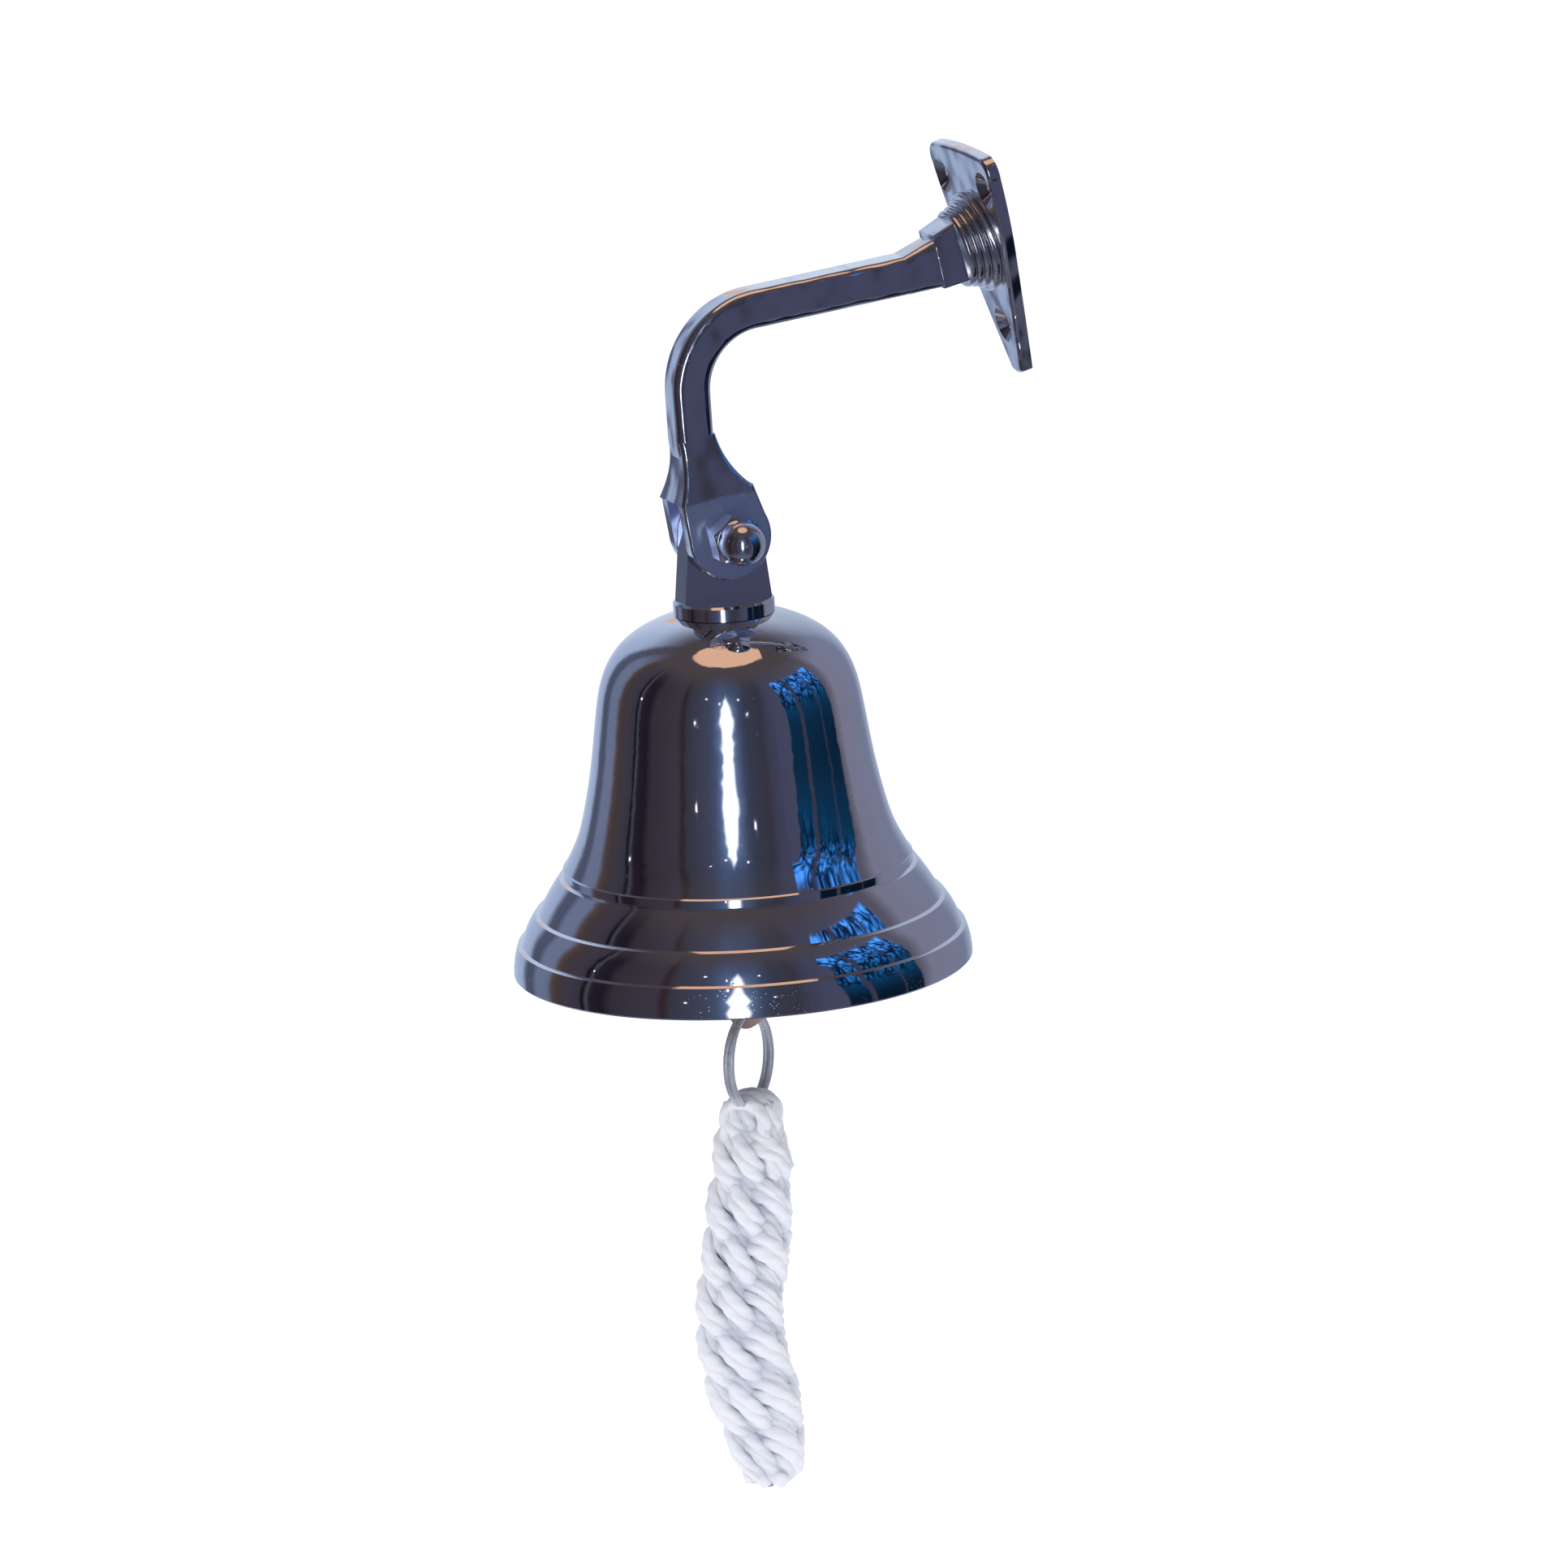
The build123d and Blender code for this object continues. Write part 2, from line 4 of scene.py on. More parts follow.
import json
import logging
import math
from dataclasses import dataclass, field
from enum import Enum

import bpy
import numpy as np
from mathutils import Matrix, Vector

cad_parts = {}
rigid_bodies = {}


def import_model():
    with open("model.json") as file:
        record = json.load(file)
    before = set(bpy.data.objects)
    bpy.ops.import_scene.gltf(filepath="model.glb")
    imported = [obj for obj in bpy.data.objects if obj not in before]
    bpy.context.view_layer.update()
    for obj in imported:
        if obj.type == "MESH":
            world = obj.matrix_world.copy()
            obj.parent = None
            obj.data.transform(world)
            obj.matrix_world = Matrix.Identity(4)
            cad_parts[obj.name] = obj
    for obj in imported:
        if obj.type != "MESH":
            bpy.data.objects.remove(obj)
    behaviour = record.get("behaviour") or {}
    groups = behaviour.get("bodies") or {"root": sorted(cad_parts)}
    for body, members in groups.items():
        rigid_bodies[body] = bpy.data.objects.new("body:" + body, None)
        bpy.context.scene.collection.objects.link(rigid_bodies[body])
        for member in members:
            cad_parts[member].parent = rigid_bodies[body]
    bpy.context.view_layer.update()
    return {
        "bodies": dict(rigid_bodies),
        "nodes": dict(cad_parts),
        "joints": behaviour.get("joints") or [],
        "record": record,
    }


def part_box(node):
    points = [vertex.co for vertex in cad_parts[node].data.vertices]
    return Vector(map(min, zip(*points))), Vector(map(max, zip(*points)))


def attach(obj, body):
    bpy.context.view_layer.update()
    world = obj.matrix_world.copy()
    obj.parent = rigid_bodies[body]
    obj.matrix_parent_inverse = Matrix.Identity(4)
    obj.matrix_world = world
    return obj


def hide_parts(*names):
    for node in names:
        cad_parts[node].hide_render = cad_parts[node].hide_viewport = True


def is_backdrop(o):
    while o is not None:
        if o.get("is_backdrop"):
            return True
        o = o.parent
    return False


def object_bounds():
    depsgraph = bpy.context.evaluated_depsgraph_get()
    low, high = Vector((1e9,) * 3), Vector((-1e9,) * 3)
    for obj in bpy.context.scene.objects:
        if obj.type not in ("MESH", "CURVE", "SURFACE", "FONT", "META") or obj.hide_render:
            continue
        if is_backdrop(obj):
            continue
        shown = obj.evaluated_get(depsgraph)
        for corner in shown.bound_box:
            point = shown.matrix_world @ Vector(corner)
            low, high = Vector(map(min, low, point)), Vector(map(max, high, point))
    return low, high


LOG = logging.getLogger("bell")
MM = 0.001

Colour = tuple[float, float, float]
Stop = tuple[float, Colour]


class Blend(Enum):
    """How a colour mix joins its two inputs."""

    MIX = "MIX"
    MULTIPLY = "MULTIPLY"
    ADD = "ADD"


class Coordinates(Enum):
    """The coordinates that a texture is laid out in."""

    OBJECT = "Object"
    UV = "UV"
    DIRECTION = "Generated"


class Graph:
    """A node tree with short names for the nodes that the finishes use."""

    def __init__(self, tree: bpy.types.NodeTree) -> None:
        """Empties a node tree and keeps it.

        Args:
            tree: the node tree of a material or of the world.
        """
        self.tree = tree
        tree.nodes.clear()

    def node(self, kind: str, **settings: object) -> bpy.types.Node:
        """Adds a node.

        Args:
            kind: the node's type name.
            settings: attributes to set on it.

        Returns:
            The new node.
        """
        made = self.tree.nodes.new(kind)
        for name, value in settings.items():
            setattr(made, name, value)
        return made

    def feed(self, socket: bpy.types.NodeSocket, value: object) -> None:
        """Links or sets an input.

        Args:
            socket: the input.
            value: an output socket, a number or a tuple of numbers.
        """
        if isinstance(value, bpy.types.NodeSocket):
            self.tree.links.new(value, socket)
        elif isinstance(value, tuple) and len(value) == 3 and socket.type == "RGBA":
            socket.default_value = (*value, 1.0)
        else:
            socket.default_value = value

    def place(self, kind: Coordinates) -> bpy.types.NodeSocket:
        """Texture coordinates of one kind."""
        return self.node("ShaderNodeTexCoord").outputs[kind.value]

    def math(self, operation: str, *values: object, clamp: bool = False) -> bpy.types.NodeSocket:
        """Adds a math node.

        Args:
            operation: the node's operation.
            values: its inputs, in order.
            clamp: whether the result is kept between 0 and 1.

        Returns:
            The result's socket.
        """
        made = self.node("ShaderNodeMath", operation=operation, use_clamp=clamp)
        for socket, value in zip(made.inputs, values):
            self.feed(socket, value)
        return made.outputs[0]

    def ease(
        self, value: object, low: float, high: float, start: float = 0.0, end: float = 1.0
    ) -> bpy.types.NodeSocket:
        """Maps a range smoothly onto another one.

        Args:
            value: what is mapped.
            low: the value that gives start.
            high: the value that gives end.
            start: the result at low.
            end: the result at high.

        Returns:
            The result's socket.
        """
        made = self.node("ShaderNodeMapRange", interpolation_type="SMOOTHSTEP")
        for socket, number in zip(made.inputs, (value, low, high, start, end)):
            self.feed(socket, number)
        return made.outputs[0]

    def band(self, value: object, low: float, high: float, soft: float) -> bpy.types.NodeSocket:
        """One between low and high, nothing outside, with soft ends.

        Args:
            value: the value to test.
            low: where the band starts.
            high: where it ends.
            soft: the length of a soft end.

        Returns:
            The value's socket.
        """
        rise = self.ease(value, low - soft, low + soft)
        fall = self.ease(value, high - soft, high + soft, 1.0, 0.0)
        return self.math("MULTIPLY", rise, fall)

    def stretch(
        self, vector: object, scale: Colour, turn: Colour = (0.0, 0.0, 0.0)
    ) -> bpy.types.NodeSocket:
        """Scales and turns a vector.

        Args:
            vector: the vector.
            scale: how much it grows along each axis.
            turn: the turn about each axis, in radians.

        Returns:
            The new vector's socket.
        """
        made = self.node("ShaderNodeMapping")
        self.feed(made.inputs["Vector"], vector)
        made.inputs["Scale"].default_value = scale
        made.inputs["Rotation"].default_value = turn
        return made.outputs[0]

    def noise(
        self, vector: object, scale: float, detail: float = 3.0, rough: float = 0.5
    ) -> bpy.types.NodeSocket:
        """Cloudy noise from 0 to 1.

        Args:
            vector: where to look.
            scale: how many clouds in a metre.
            detail: the number of finer layers.
            rough: the strength of each finer layer.

        Returns:
            The value's socket.
        """
        made = self.node("ShaderNodeTexNoise")
        self.feed(made.inputs["Vector"], vector)
        made.inputs["Scale"].default_value = scale
        made.inputs["Detail"].default_value = detail
        made.inputs["Roughness"].default_value = rough
        return made.outputs[0]

    def cells(self, vector: object, scale: float, feature: str = "F1") -> bpy.types.NodeSocket:
        """Distance to the nearest random point, or to a cell's edge.

        Args:
            vector: where to look.
            scale: how many cells in a metre.
            feature: the distance to give.

        Returns:
            The value's socket.
        """
        made = self.node("ShaderNodeTexVoronoi", feature=feature)
        self.feed(made.inputs["Vector"], vector)
        made.inputs["Scale"].default_value = scale
        return made.outputs["Distance"]

    def ramp(self, value: object, stops: tuple[Stop, ...]) -> bpy.types.NodeSocket:
        """A colour for each value.

        Args:
            value: what picks the colour, from 0 to 1.
            stops: the places and colours, in order.

        Returns:
            The colour's socket.
        """
        made = self.node("ShaderNodeValToRGB")
        self.feed(made.inputs[0], value)
        points = made.color_ramp.elements
        while len(points) < len(stops):
            points.new(1.0)
        for point, (place, colour) in zip(points, stops):
            point.position = place
            point.color = (*colour, 1.0)
        return made.outputs[0]

    def mix(
        self, share: object, first: object, second: object, way: Blend = Blend.MIX
    ) -> bpy.types.NodeSocket:
        """Mixes two colours.

        Args:
            share: how much of the second is taken.
            first: a colour or its socket.
            second: a colour or its socket.
            way: how they are joined.

        Returns:
            The colour's socket.
        """
        made = self.node("ShaderNodeMix", data_type="RGBA", blend_type=way.value)
        self.feed(made.inputs["Factor"], share)
        self.feed(made.inputs[6], first)
        self.feed(made.inputs[7], second)
        return made.outputs[2]

    def bump(
        self, height: object, strength: float, distance: float, under: object = None
    ) -> bpy.types.NodeSocket:
        """Raises a surface by a height texture.

        Args:
            height: the texture.
            strength: the effect's share, from 0 to 1.
            distance: the height of one unit, in metres.
            under: the normal of a bump below this one.

        Returns:
            The normal's socket.
        """
        made = self.node("ShaderNodeBump")
        made.inputs["Strength"].default_value = strength
        made.inputs["Distance"].default_value = distance
        self.feed(made.inputs["Height"], height)
        if under is not None:
            self.feed(made.inputs["Normal"], under)
        return made.outputs[0]


def new_material(name: str) -> tuple[bpy.types.Material, Graph, bpy.types.Node]:
    """Makes a material with one surface shader.

    Args:
        name: the material's name.

    Returns:
        The material, its graph and its shader node.
    """
    material = bpy.data.materials.new(name)
    material.use_nodes = True
    graph = Graph(material.node_tree)
    shader = graph.node("ShaderNodeBsdfPrincipled")
    output = graph.node("ShaderNodeOutputMaterial")
    graph.feed(output.inputs["Surface"], shader.outputs[0])
    return material, graph, shader


@dataclass(frozen=True)
class Chrome:
    """Chrome plate with hair scratches and pits, and if asked satin faces with a painted blue reflection
    tint, a speckled lip or cast waves.
    """

    name: str
    tint: Colour = (0.97, 0.94, 0.93)
    polish: float = 0.035
    dulling: float = 0.05
    pits: float = 1.0
    scratch: float = 0.25
    satin_below: float | None = None
    satin_roughness: float = 0.20
    speckled_below: float | None = None
    waviness: float = 0.0
    # painted reflection: a blue tint that stands in for the bluish room seen in the satin faces
    satin_reflection_tint: Colour = (0.62, 0.72, 1.0)
    pit_tint: Colour = (0.97, 0.97, 1.0)
    scratch_depth: float = 0.0022 * MM
    brush_depth: float = 0.012 * MM
    pit_depth: float = 0.02 * MM
    soft_edge: float = 0.3 * MM

    def make(self) -> bpy.types.Material:
        """Builds the material.

        Returns:
            The material.
        """
        material, graph, shader = new_material(self.name)
        shader.inputs["Metallic"].default_value = 1.0
        place = graph.place(Coordinates.OBJECT)
        cloud = graph.noise(place, 45.0, 4.0, 0.6)
        fine = graph.noise(graph.stretch(place, (60.0, 60.0, 2600.0), (0.15, 0.1, 0.0)), 1.0, 2.0)
        hair = graph.noise(graph.stretch(place, (2200.0, 90.0, 140.0), (0.3, 0.6, 0.9)), 1.0, 2.0)
        pit_points = graph.cells(place, 520.0)
        picked = graph.ease(graph.noise(place, 190.0, 1.0), 0.60, 0.72)
        pit = graph.math("MULTIPLY", graph.ease(pit_points, 0.10, 0.20, 1.0, 0.0), picked)
        if self.speckled_below is not None:
            height = self.height(graph, place)
            band = graph.ease(height, self.speckled_below - self.soft_edge, self.speckled_below, 1.0, 0.0)
            speck_points = graph.cells(place, 1500.0)
            speck = graph.ease(speck_points, 0.14, 0.24, 1.0, 0.0)
            speck = graph.math("MULTIPLY", speck, graph.ease(graph.noise(place, 320.0, 2.0), 0.46, 0.62))
            pit = graph.math("MAXIMUM", pit, graph.math("MULTIPLY", speck, band))
        rough = graph.ease(cloud, 0.35, 0.75, self.polish, self.polish + self.dulling)
        rough = graph.math("ADD", rough, graph.math("MULTIPLY", pit, 0.30 * self.pits))
        scratches = graph.math("MULTIPLY", graph.math("ADD", fine, hair), 0.5)
        normal = graph.bump(scratches, self.scratch, self.scratch_depth)
        if self.waviness:
            normal = graph.bump(graph.noise(place, 95.0, 1.0), 1.0, self.waviness, normal)
        if self.satin_below is not None:
            height = self.height(graph, place)
            low = graph.ease(height, self.satin_below - 0.0004, self.satin_below, 1.0, 0.0)
            side = graph.node("ShaderNodeSeparateXYZ")
            graph.feed(side.inputs[0], graph.node("ShaderNodeNewGeometry").outputs["True Normal"])
            flat = graph.ease(graph.math("ABSOLUTE", side.outputs[0]), 0.93, 0.97)
            satin = graph.math("MULTIPLY", low, flat)
            graph.feed(shader.inputs["Metallic"], graph.math("MULTIPLY_ADD", satin, -0.07, 1.0))
            rough = graph.math("ADD", rough, graph.math("MULTIPLY", satin, self.satin_roughness))
            brushed = graph.noise(graph.stretch(place, (1.0, 1500.0, 120.0), (0.55, 0.0, 0.0)), 1.0, 3.0)
            normal = graph.bump(graph.math("MULTIPLY", brushed, satin), 0.6, self.brush_depth, normal)
        normal = graph.bump(pit, 0.5 * self.pits, -self.pit_depth, normal)
        tint = graph.mix(graph.ease(cloud, 0.3, 0.8), self.tint, tuple(0.93 * part for part in self.tint))
        tint = graph.mix(graph.math("MULTIPLY", pit, 0.45), tint, self.pit_tint)
        if self.satin_below is not None:
            # painted reflection: the satin faces take the blue tint of the room that they reflect
            tint = graph.mix(satin, tint, self.satin_reflection_tint)
        graph.feed(shader.inputs["Base Color"], tint)
        graph.feed(shader.inputs["Roughness"], rough)
        graph.feed(shader.inputs["Normal"], normal)
        return material

    @staticmethod
    def height(graph: Graph, place: bpy.types.NodeSocket) -> bpy.types.NodeSocket:
        """The height of a surface point in the row frame.

        Args:
            graph: the material's graph.
            place: the point's socket.

        Returns:
            The value's socket.
        """
        parts = graph.node("ShaderNodeSeparateXYZ")
        graph.feed(parts.inputs[0], place)
        return parts.outputs[2]


@dataclass(frozen=True)
class TurnedMetal:
    """Plain steel or brass with fine tool marks and a cloudy tarnish."""

    name: str
    tint: Colour
    tarnish: Colour
    polish: float = 0.24
    mark: Colour = (200.0, 200.0, 2400.0)
    metallic: float = 1.0

    def make(self) -> bpy.types.Material:
        """Builds the material.

        Returns:
            The material.
        """
        material, graph, shader = new_material(self.name)
        place = graph.place(Coordinates.OBJECT)
        cloud = graph.noise(place, 160.0, 5.0, 0.62)
        marks = graph.noise(graph.stretch(place, self.mark), 1.0, 3.0)
        colour = graph.mix(graph.ease(cloud, 0.42, 0.72), self.tint, self.tarnish)
        rough = graph.ease(cloud, 0.3, 0.8, self.polish, self.polish + 0.16)
        rough = graph.math("ADD", rough, graph.math("MULTIPLY", marks, 0.08))
        graph.feed(shader.inputs["Base Color"], colour)
        graph.feed(shader.inputs["Roughness"], rough)
        graph.feed(shader.inputs["Normal"], graph.bump(marks, 0.35, 0.00001))
        shader.inputs["Metallic"].default_value = self.metallic
        return material


@dataclass(frozen=True)
class Cotton:
    """Soft white cotton cord: fluffy fibres, painted cool grey shade in the creases and a little sheen."""

    name: str
    white: Colour = (0.84, 0.85, 0.88)
    # painted shade: the cool grey that darkens the creases between the cords
    crease_shade: Colour = (0.42, 0.47, 0.56)
    speck: Colour = (0.78, 0.79, 0.85)
    fluff: float = 1100.0
    sheen: float = 0.35

    def make(self) -> bpy.types.Material:
        """Builds the material.

        Returns:
            The material.
        """
        material, graph, shader = new_material(self.name)
        place = graph.place(Coordinates.OBJECT)
        along = graph.place(Coordinates.UV)
        # how deep a point lies in a crease; it masks the painted shade below
        deep = graph.node("ShaderNodeAttribute", attribute_name="crease_shade").outputs["Fac"]
        fibres = graph.noise(graph.stretch(along, (2.2, 34.0, 1.0), (0.0, 0.0, 0.35)), 1.0, 6.0, 0.7)
        fluff = graph.noise(place, self.fluff, 5.0, 0.7)
        mottle = graph.noise(place, 140.0, 3.0)
        # painted shade: points deep in the creases take the cool grey colour
        colour = graph.mix(graph.ease(deep, 0.15, 1.0), self.white, self.crease_shade)
        colour = graph.mix(graph.ease(mottle, 0.45, 0.75, 0.0, 0.35), colour, self.speck)
        graph.feed(shader.inputs["Base Color"], colour)
        graph.feed(shader.inputs["Roughness"], graph.ease(fluff, 0.2, 0.8, 0.82, 1.0))
        shader.inputs["Sheen Weight"].default_value = self.sheen
        shader.inputs["Sheen Roughness"].default_value = 0.6
        shader.inputs["Specular IOR Level"].default_value = 0.2
        shader.inputs["Subsurface Weight"].default_value = 0.12
        shader.inputs["Subsurface Radius"].default_value = (0.9, 0.9, 1.0)
        shader.inputs["Subsurface Scale"].default_value = 0.0008
        normal = graph.bump(fibres, 0.7, 0.00035)
        graph.feed(shader.inputs["Normal"], graph.bump(fluff, 0.7, 0.0003, normal))
        return material


@dataclass(frozen=True)
class Floor:
    """Plain pale paper on the floor."""

    name: str = "floor_paper"
    pale: Colour = (0.90, 0.90, 0.91)

    def make(self) -> bpy.types.Material:
        """Builds the material.

        Returns:
            The material.
        """
        material, graph, shader = new_material(self.name)
        cloud = graph.noise(graph.place(Coordinates.OBJECT), 6.0)
        graph.feed(shader.inputs["Base Color"], graph.mix(cloud, self.pale, (0.92, 0.92, 0.93)))
        shader.inputs["Roughness"].default_value = 0.9
        shader.inputs["Emission Color"].default_value = (1.0, 1.0, 1.0, 1.0)
        shader.inputs["Emission Strength"].default_value = 0.38
        return material


def dress(node: str, material: bpy.types.Material, frame: dict) -> None:
    """Gives a CAD node its material.

    Args:
        node: the node's name.
        material: the material.
    """
    slots = frame["nodes"][node].material_slots
    if not slots:
        frame["nodes"][node].data.materials.append(material)
    for slot in slots:
        slot.material = material
    LOG.info("dressed %s with %s", node, material.name)


def tube(points: np.ndarray, radii: np.ndarray, around: int) -> tuple[np.ndarray, list]:
    """Rings of points round a line, on frames that don't twist.

    Args:
        points: the line's points, one per row.
        radii: one radius per point, or one per point and ring corner.
        around: corners in each ring.

    Returns:
        The mesh points and the faces.
    """
    count = len(points)
    tangents = np.gradient(points, axis=0)
    tangents /= np.linalg.norm(tangents, axis=1)[:, None]
    side = np.cross(tangents[0], (0.3, 0.4, 0.86))
    side /= np.linalg.norm(side)
    corners = np.arange(around) * 2 * math.pi / around
    if radii.ndim == 1:
        radii = np.repeat(radii[:, None], around, axis=1)
    rings = np.empty((count, around, 3))
    for index in range(count):
        side = side - tangents[index] * np.dot(side, tangents[index])
        side /= np.linalg.norm(side)
        other = np.cross(tangents[index], side)
        arm = np.outer(np.cos(corners), side) + np.outer(np.sin(corners), other)
        rings[index] = points[index] + arm * radii[index][:, None]
    faces = []
    for ring in range(count - 1):
        here, after = ring * around, (ring + 1) * around
        for corner in range(around):
            beside = (corner + 1) % around
            faces.append((here + corner, here + beside, after + beside, after + corner))
    faces.append(tuple(reversed(range(around))))
    faces.append(tuple(range((count - 1) * around, count * around)))
    return rings.reshape(-1, 3), faces


def mesh_object(
    name: str, points: np.ndarray, faces: list, material: bpy.types.Material
) -> bpy.types.Object:
    """Makes a smooth mesh object.

    Args:
        name: the object's name.
        points: its points, one per row, in metres.
        faces: its faces.
        material: its material.

    Returns:
        The object, linked to the scene.
    """
    mesh = bpy.data.meshes.new(name)
    mesh.from_pydata(points.tolist(), [], faces)
    mesh.polygons.foreach_set("use_smooth", [True] * len(mesh.polygons))
    mesh.materials.append(material)
    mesh.update()
    made = bpy.data.objects.new(name, mesh)
    bpy.context.scene.collection.objects.link(made)
    return made


def joint_place(frame: dict, name: str) -> Vector:
    """Where a joint of the frame is, at rest."""
    return Vector(next(joint["pos_m"] for joint in frame["joints"] if joint["name"] == name))


def joint_axis(frame: dict, name: str) -> Vector:
    """The axis of a joint of the frame."""
    return Vector(next(joint["axis"] for joint in frame["joints"] if joint["name"] == name)).normalized()


@dataclass
class Bracket:
    """The cast bracket: shield plate, arm with its fork, and the hidden screw."""

    shoulder_above_pivot: float = 9.7 * MM

    def build(self, frame: dict) -> None:
        """Dresses the bracket's nodes.
        """
        pivot = joint_place(frame, "bell_swing")
        plate = Chrome("plate_chrome", polish=0.09, dulling=0.08, scratch=0.6, pits=1.3, waviness=0.0007)
        arm = Chrome(
            "arm_chrome", polish=0.07, dulling=0.09, scratch=0.4, pits=1.2, waviness=0.0014,
            satin_below=pivot.z + self.shoulder_above_pivot,
        )
        screw = TurnedMetal("screw_steel", (0.62, 0.62, 0.64), (0.42, 0.41, 0.42))
        dress("wall_plate", plate.make(), frame)
        dress("bracket_arm", arm.make(), frame)
        dress("arm_screw", screw.make(), frame)


@dataclass
class PivotFittings:
    """The pivot bolt and its domed nut."""

    def build(self, frame: dict) -> None:
        """Dresses the bolt and the nut."""
        dress("pivot_bolt", Chrome("bolt_chrome", polish=0.08, scratch=0.3).make(), frame)
        dress("cap_nut", Chrome("nut_chrome", polish=0.07, scratch=0.3, pits=1.4).make(), frame)


@dataclass
class Bell:
    """The bell with its lug, and the nut and washer that clamp the two together."""

    lip_height: float = 6.7 * MM

    def build(self, frame: dict) -> None:
        """Dresses the bell's nodes.
        """
        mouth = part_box("bell_shell")[0].z
        lip = mouth + self.lip_height
        shell = Chrome("bell_chrome", polish=0.035, dulling=0.04, scratch=0.9, speckled_below=lip)
        dress("bell_shell", shell.make(), frame)
        lug = Chrome("lug_chrome", polish=0.06, dulling=0.08, scratch=0.4, pits=1.5)
        dress("bell_lug", lug.make(), frame)
        inner = TurnedMetal("inner_steel", (0.58, 0.58, 0.60), (0.36, 0.34, 0.34), polish=0.3).make()
        for node in ("crown_washer", "crown_nut", "clapper_eye", "clapper_link"):
            dress(node, inner, frame)


@dataclass
class Clapper:
    """The turned stem and its ball."""

    def build(self, frame: dict) -> None:
        """Dresses the clapper's nodes.
        """
        finish = TurnedMetal(
            "clapper_brass", (0.74, 0.52, 0.42), (0.42, 0.30, 0.27), polish=0.28, metallic=0.7
        )
        brass = finish.make()
        dress("clapper_rod", brass, frame)
        dress("clapper_ball", brass, frame)


@dataclass
class SplitRing:
    """The steel split ring: one wire wound twice, with cut ends."""

    radius: float = 10.35 * MM
    wire: float = 0.65 * MM
    step: float = 0.64 * MM
    turns: float = 1.94
    crossing: float = 0.16
    start: float = 1.95
    cut: float = 0.86
    samples: int = 420
    around: int = 20

    def line(self, frame: dict) -> np.ndarray:
        """The wire's centreline.


        Returns:
            Its points, one per row.
        """
        low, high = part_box("split_ring")
        centre = (low + high) / 2
        normal = joint_axis(frame, "rope_swing")
        across = joint_axis(frame, "ring_swing")
        share = np.linspace(0.0, 1.0, self.samples)
        angle = self.start + share * self.turns * 2 * math.pi
        slide = np.clip((share - 0.5) / self.crossing, -1.0, 1.0)
        offset = self.step * np.sin(slide * math.pi / 2)
        out = np.outer(np.cos(angle), across) + np.outer(np.sin(angle), (0.0, 0.0, 1.0))
        return np.array(centre) + out * self.radius + np.outer(offset, normal)

    def build(self, frame: dict) -> None:
        """Winds the ring and puts it in place of its CAD node.
        """
        points = self.line(frame)
        radii = np.full(self.samples, self.wire)
        radii[0] = radii[-1] = self.cut * self.wire
        steel = TurnedMetal(
            "ring_steel",
            tint=(0.70, 0.73, 0.78),
            tarnish=(0.50, 0.53, 0.58),
            polish=0.2,
            mark=(900.0, 900.0, 300.0),
            metallic=0.55,
        )
        ring = mesh_object("split_ring_wire", *tube(points, radii, self.around), steel.make())
        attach(ring, "ring")
        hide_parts("split_ring")
        LOG.info("wound %s with %d points", ring.name, len(points))


